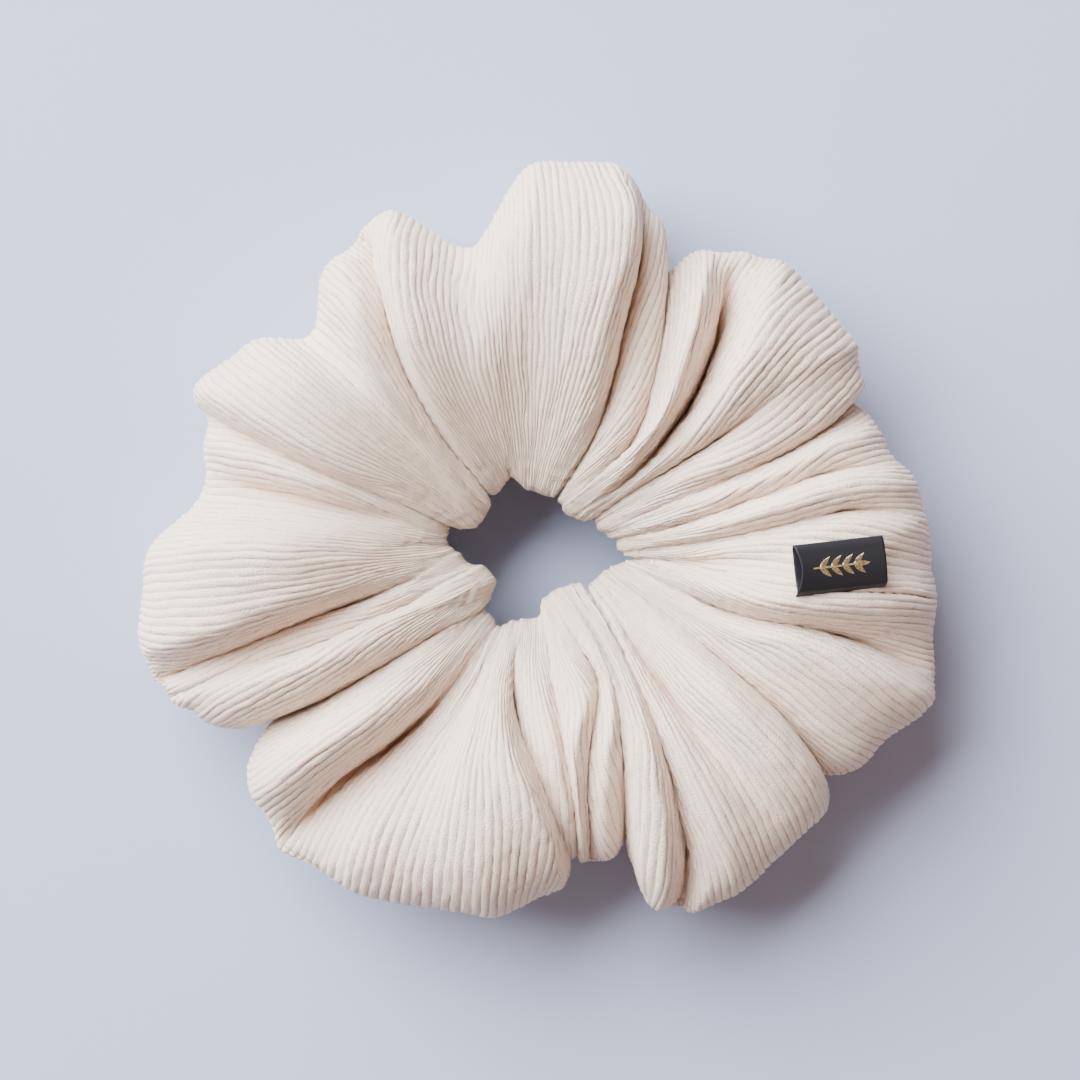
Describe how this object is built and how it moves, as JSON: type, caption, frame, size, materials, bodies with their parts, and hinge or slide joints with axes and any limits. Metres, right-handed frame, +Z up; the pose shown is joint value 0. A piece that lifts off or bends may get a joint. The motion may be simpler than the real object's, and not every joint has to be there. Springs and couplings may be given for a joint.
{
  "type": "scrunchie",
  "caption": "Gathered hair tie: a rib velvet tube ruffled round a loop of flat elastic, with a folded ribbon label in its closing seam.",
  "frame": {"origin": "middle of the outer box, on the surface that the scrunchie lies on", "axes": "+Z up out of the ring, +X along its longest side, towards the closing seam and the label"},
  "size_m": [0.1593, 0.153, 0.0421],
  "materials": {
    "rib_velvet": "cream stretch velvet with fine rounded ribs, 16 to the inch, short soft pile",
    "braided_elastic": "white braided elastic, matt",
    "sewing_thread": "cream polyester sewing thread",
    "satin_ribbon": "black satin, soft sheen",
    "gold_foil": "pressed gold foil, satin metallic"
  },
  "bodies": {
    "gathered_ring": {"fabric_cover": "rib_velvet", "elastic_band": "braided_elastic", "elastic_join_thread": "sewing_thread", "lengthwise_seam_needle_thread": "sewing_thread", "lengthwise_seam_bobbin_thread": "sewing_thread"},
    "pulled_side": {"closing_seam_thread": "sewing_thread"},
    "label": {"label_ribbon": "satin_ribbon", "label_foil_print": "gold_foil"}
  },
  "joints": [
    {"name": "elastic_stretch", "type": "slide", "parent": "gathered_ring", "child": "pulled_side", "axis": [1, 0, 0], "range_m": [0, 0.06], "stiffness_N_per_m": 60, "deforming": ["fabric_cover", "elastic_band", "lengthwise_seam_needle_thread", "lengthwise_seam_bobbin_thread"]},
    {"name": "label_flip", "type": "hinge", "parent": "pulled_side", "child": "label", "pos_m": [0.05874, -0.00905, 0.03975], "axis": [0.9787, 0.1098, -0.1736], "range_deg": [0, 130]}
  ]
}
